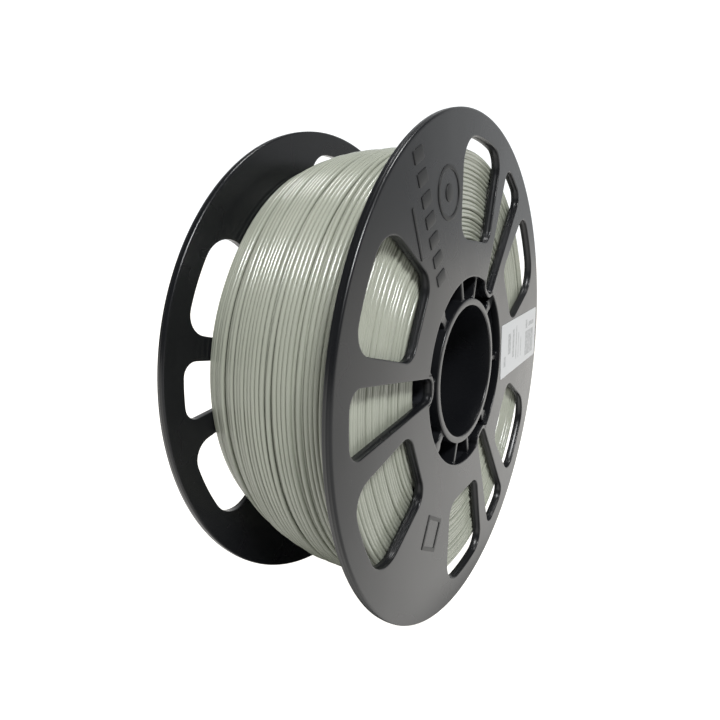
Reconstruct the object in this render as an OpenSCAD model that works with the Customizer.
// Filament spool: two alike half mouldings pressed together on a common axis,
// wound with filament. The axis lies along X and the labelled flange faces +X.

/* [Flanges] */
// Outside diameter of both flanges
flange_d = 200; // [160:1:300]
// Width of the spool over both flanges
spool_w = 72; // [50:1:110]
// Thickness of a flange plate
flange_t = 3.4; // [2:0.1:6]
// Rounding of the two edges of a flange's rim
rim_round = 0.8; // [0.3:0.1:1.5]
// Plain band left between the windows and the rim
rim_band = 9.3; // [5:0.1:20]

/* [Windows] */
// Number of window groups round a flange
groups = 3; // [2:1:4]
// Setback of the slot's inner end inside the drum surface
slot_inset = 5.3; // [3:0.1:8]
// Half of the angle between the two sides of the slot
slot_angle = 7.8; // [3:0.1:12]
// Distance by which each slot side misses the axis
slot_miss = 0.84; // [0:0.01:2]
// Corner radius at the slot's inner end
slot_tip_round = 3.4; // [1:0.1:4]
// Corner radius at the slot's outer end
slot_end_round = 5.5; // [2:0.1:8]
// Angle of a side window's edge beside the slot
side_angle = 14; // [11:0.5:20]
// Distance by which that edge misses the axis
side_miss = 0.97; // [0:0.01:2]
// Direction in which a side window's inner edge faces the axis
chord_angle = 26.4; // [20:0.1:35]
// Distance of a side window's inner edge outside the drum
chord_gap = 10.9; // [5:0.1:20]
// Direction in which the edge beside the solid sector faces
sector_angle = 121; // [110:1:130]
// Distance of the edge beside the solid sector from the axis
sector_gap = 13.4; // [8:0.1:20]
// Corner radius, inner corner beside the slot
side_round_a = 6.5; // [2:0.1:8]
// Corner radius, outer corner beside the slot
side_round_b = 8; // [2:0.1:10]
// Corner radius, outer corner beside the solid sector
side_round_c = 12.5; // [4:0.1:15]
// Corner radius, inner corner beside the solid sector
side_round_d = 7; // [2:0.1:9]

/* [Hub] */
// Bore diameter
bore_d = 54; // [30:1:60]
// Wall of the bore sleeve
sleeve_t = 2.8; // [1.5:0.1:5]
// Setback of the sleeve end from the flange face
sleeve_setback = 0.6; // [0:0.1:3]
// Outside diameter of the drum the filament is wound on
drum_d = 82.6; // [70:0.2:100]
// Wall of the drum
drum_t = 2.9; // [1.5:0.1:5]
// Wall round each slot where it runs in along the drum
slot_wall = 1.6; // [1:0.1:3]
// Thickness of the two plain webs
web_t = 2.4; // [1.5:0.1:4]
// Thickness of the four stout webs
stout_web_t = 3.6; // [2:0.1:5]
// Radius of the round thickening at the outer end of a stout web
web_knob_r = 3; // [2:0.1:4]
// Setback of the web ends from the flange face
web_setback = 1.6; // [0:0.1:6]

/* [Joint of the halves] */
// Half of the gap between the pocket walls, taken at the bore wall
pocket_half = 3.7; // [3:0.1:6]
// Half of the angle between the two pocket walls
pocket_angle = 15.5; // [0:0.5:20]
// Thickness of a pocket wall
pocket_wall = 2; // [1:0.1:3]
// Length of the tongue held in its own half
tongue_root = 14; // [6:1:25]
// Length of the tongue that enters the other half
tongue_reach = 10; // [5:1:20]
// Radial thickness of the tongue
tongue_t = 3; // [2:0.1:5]
// Clearance of the tongue in the other half's pocket
tongue_gap = 0.3; // [0.1:0.05:1]

/* [Filament] */
// Outside diameter of the winding at the labelled flange
wind_front_d = 171; // [100:1:190]
// Outside diameter of the winding at mid width
wind_mid_d = 176.8; // [100:1:190]
// Outside diameter of the winding at the rear flange
wind_back_d = 160; // [100:1:190]
// Gap between the winding and each flange
wind_gap = 0.3; // [0:0.1:2]

/* [Label and moulded marks] */
// Length of the label
label_l = 56; // [20:1:60]
// Width of the label
label_w = 26; // [10:1:30]
// Thickness of the label
label_t = 0.15; // [0.1:0.05:0.5]
// Distance of the label centre from the axis
label_r = 68; // [55:1:80]
// Height of the label centre above the horizontal
label_lift = 3; // [-5:0.5:5]
// Turn of the label on the flange
label_turn = 4; // [-10:0.5:10]
// Height of the moulded marks
mark_h = 0.25; // [0.1:0.05:0.6]
// Size of the upright bars in the long row, across and along the bar
bar_size = [4.4, 7]; // [1:0.1:10]
// Number of bars in the long row
bars = 7; // [3:1:8]
// Outer radius of the moulded ring
ring_r = 9.5; // [5:0.1:12]
// Width of the moulded ring and of the small frame
line_w = 1.5; // [0.5:0.1:3]
// Side of the small moulded frame
frame_size = 13; // [6:0.5:16]

/* [Hidden] */
$fn = 96;
shell = [0.31, 0.32, 0.32];
flange_r = flange_d / 2;
half_w = spool_w / 2;
inner_x = half_w - flange_t;
drum_r = drum_d / 2;
hub_r = drum_r - drum_t;
bore_r = bore_d / 2;
sleeve_r = bore_r + sleeve_t;
window_r = flange_r - rim_band;
slot_in = drum_r - slot_inset;
chord_r = drum_r + chord_gap;
group_step = 360 / groups;
pocket_mid = (sleeve_r + hub_r) / 2;
arc_steps = 8;
past = 1;
bar_row = [[-52, 78], [-31.5, 39.5]];
line_row = [[-55, 62], [-47, 45.5]];
ring_at = [-27, 68.5];
frame_at = [66, 241];

function toward(a) = [cos(a), sin(a)];

// Centre of the corner circle between two straight edges, each facing outward
// in a direction at a distance from the axis
function corner(a1, h1, a2, h2, r) = [
    ((h1 - r) * sin(a2) - (h2 - r) * sin(a1)) / sin(a2 - a1),
    ((h2 - r) * cos(a1) - (h1 - r) * cos(a2)) / sin(a2 - a1)];

// Centre of the corner circle between a straight edge and the round outer edge
function end_corner(a, h, r, outer, hand) =
    (h - r) * toward(a) + hand * sqrt(pow(outer - r, 2) - pow(h - r, 2)) * toward(a + 90);

function arc(c, r, a1, a2) =
    [for (i = [0 : arc_steps]) c + r * toward(a1 + (a2 - a1) * i / arc_steps)];

function bearing(c) = atan2(c[1], c[0]);

// Long slot of a group, centred on the local x axis and grown by a margin
module slot(grow = 0) {
    edge = 90 + slot_angle;
    side_h = grow - slot_miss;
    outer = window_r + grow;
    tip_r = slot_tip_round + grow;
    end_r = slot_end_round + grow;
    low = end_corner(-edge, side_h, end_r, outer, 1);
    high = end_corner(edge, side_h, end_r, outer, -1);
    tip_high = corner(edge, side_h, 180, grow - slot_in, tip_r);
    tip_low = corner(180, grow - slot_in, 360 - edge, side_h, tip_r);
    polygon(concat(
        arc(low, end_r, -edge, bearing(low)),
        arc([0, 0], outer, bearing(low), bearing(high)),
        arc(high, end_r, bearing(high), edge),
        arc(tip_high, tip_r, edge, 180),
        arc(tip_low, tip_r, 180, 360 - edge)));
}

// Four-sided window on one side of the slot
module side_window() {
    beside = side_angle - 90;
    inward = chord_angle + 180;
    b = end_corner(beside, side_miss, side_round_b, window_r, 1);
    c = end_corner(sector_angle, sector_gap, side_round_c, window_r, -1);
    d = corner(sector_angle, sector_gap, inward, -chord_r, side_round_d);
    a = corner(inward, -chord_r, beside + 360, side_miss, side_round_a);
    polygon(concat(
        arc(b, side_round_b, beside, bearing(b)),
        arc([0, 0], window_r, bearing(b), bearing(c)),
        arc(c, side_round_c, bearing(c), sector_angle),
        arc(d, side_round_d, sector_angle, inward),
        arc(a, side_round_a, inward, beside + 360)));
}

module each_group() {
    for (i = [0 : groups - 1]) {
        rotate(180 + i * group_step) children();
    }
}

module windows() {
    each_group() {
        slot();
        side_window();
        mirror([0, 1]) side_window();
    }
}

// Stands a flat outline up between two stations along the axis
module along_axis(x0, x1) {
    translate([x0, 0, 0]) rotate([90, 0, 90]) linear_extrude(x1 - x0) children();
}

module tube(r_out, r_in) {
    difference() {
        circle(r_out);
        circle(r_in);
    }
}

module flange_profile() {
    body_r = flange_r - rim_round;
    translate([drum_r, inner_x]) square([body_r - drum_r, flange_t]);
    translate([drum_r, inner_x + rim_round]) square([flange_r - drum_r, flange_t - 2 * rim_round]);
    translate([body_r, inner_x + rim_round]) circle(rim_round);
    translate([body_r, half_w - rim_round]) circle(rim_round);
}

module half_flange() {
    difference() {
        rotate([90, 0, 90]) rotate_extrude() flange_profile();
        along_axis(inner_x - past, half_w + past) windows();
    }
}

module half_drum() {
    along_axis(0, half_w) difference() {
        union() {
            tube(drum_r, hub_r);
            intersection() {
                circle(drum_r);
                each_group() slot(slot_wall);
            }
        }
        each_group() slot();
    }
}

module half_sleeve() {
    along_axis(0, half_w - sleeve_setback) tube(sleeve_r, bore_r);
}

// Space between the sleeve and the drum, less the slot walls
module hub_space() {
    difference() {
        tube(hub_r, sleeve_r);
        each_group() slot(slot_wall);
    }
}

module web(thickness) {
    translate([bore_r, -thickness / 2]) square([drum_r - bore_r, thickness]);
}

module half_webs() {
    along_axis(0, half_w - web_setback) intersection() {
        hub_space();
        union() {
            for (a = [0, 180]) {
                rotate(a) web(web_t);
            }
            for (a = [45 : 90 : 315]) {
                rotate(a) web(stout_web_t);
                rotate(a) translate([hub_r - web_knob_r, 0]) circle(web_knob_r);
            }
        }
    }
}

// Wedge-shaped space between a pair of pocket walls, its sides moved outward
module pocket_space(move) {
    reach = hub_r - bore_r + past;
    near = pocket_half + move;
    far = near + reach * tan(pocket_angle);
    translate([bore_r, 0]) polygon([[0, -near], [reach, -far], [reach, far], [0, near]]);
}

module half_pockets() {
    along_axis(0, half_w - web_setback) intersection() {
        hub_space();
        for (a = [90, 270]) {
            rotate(a) difference() {
                pocket_space(pocket_wall);
                pocket_space(0);
            }
        }
    }
}

// Tongue that keys one half into the other, held between its own pocket walls
module half_tongue() {
    inner = pocket_mid - tongue_t / 2;
    outer = pocket_mid + tongue_t / 2;
    along_axis(0, tongue_root) intersection() {
        tube(outer, inner);
        rotate(90) pocket_space(0);
    }
    along_axis(-tongue_reach, 0) intersection() {
        tube(outer, inner);
        rotate(90) pocket_space(-tongue_gap);
    }
}

// Line of blocks between two points on the flange face
module bar_line(from, to, count, size) {
    run = to - from;
    for (i = [0 : count - 1]) {
        translate(from + run * i / (count - 1)) rotate(bearing(run)) square(size, center = true);
    }
}

module mark_outlines() {
    line_run = line_row[1] - line_row[0];
    bar_line(bar_row[0], bar_row[1], bars, bar_size);
    translate((line_row[0] + line_row[1]) / 2) rotate(bearing(line_run))
        square([norm(line_run), line_w], center = true);
    translate(ring_at) tube(ring_r, ring_r - line_w);
    translate(ring_at) circle(ring_r / 3);
    rotate(frame_at[1]) translate([frame_at[0], 0]) difference() {
        square(frame_size, center = true);
        square(frame_size - 2 * line_w, center = true);
    }
}

module front_flange() {
    color(shell) half_flange();
}

module front_drum() {
    color(shell) half_drum();
}

module front_sleeve() {
    color(shell) half_sleeve();
}

module front_webs() {
    color(shell) half_webs();
}

module front_pockets() {
    color(shell) half_pockets();
}

module front_tongue() {
    color(shell) half_tongue();
}

module front_marks() {
    color([0.36, 0.37, 0.37]) along_axis(half_w, half_w + mark_h) mark_outlines();
}

module back_flange() {
    color(shell) rotate([0, 180, 0]) half_flange();
}

module back_drum() {
    color(shell) rotate([0, 180, 0]) half_drum();
}

module back_sleeve() {
    color(shell) rotate([0, 180, 0]) half_sleeve();
}

module back_webs() {
    color(shell) rotate([0, 180, 0]) half_webs();
}

module back_pockets() {
    color(shell) rotate([0, 180, 0]) half_pockets();
}

module back_tongue() {
    color(shell) rotate([0, 180, 0]) half_tongue();
}

// Radius of the winding at a station from -1 at the rear flange to 1 at the labelled one
function wound_r(t) = t < 0
    ? (wind_mid_d - (wind_mid_d - wind_back_d) * pow(-t, 1.6)) / 2
    : (wind_mid_d - (wind_mid_d - wind_front_d) * pow(t, 3)) / 2;

// Wound filament as one solid: a shallow barrel, fuller at the labelled flange
module filament() {
    side = inner_x - wind_gap;
    stations = [-1 : 0.25 : 1];
    color([0.7, 0.7, 0.65]) rotate([90, 0, 90]) rotate_extrude() polygon(concat(
        [[drum_r, -side]],
        [for (t = stations) [wound_r(t), side * t]],
        [[drum_r, side]]));
}

module label() {
    color([0.93, 0.93, 0.92]) along_axis(half_w, half_w + label_t)
        translate([label_r, label_lift]) rotate(label_turn)
            square([label_l, label_w], center = true);
}

front_flange();
front_drum();
front_sleeve();
front_webs();
front_pockets();
front_tongue();
front_marks();
back_flange();
back_drum();
back_sleeve();
back_webs();
back_pockets();
back_tongue();
filament();
label();
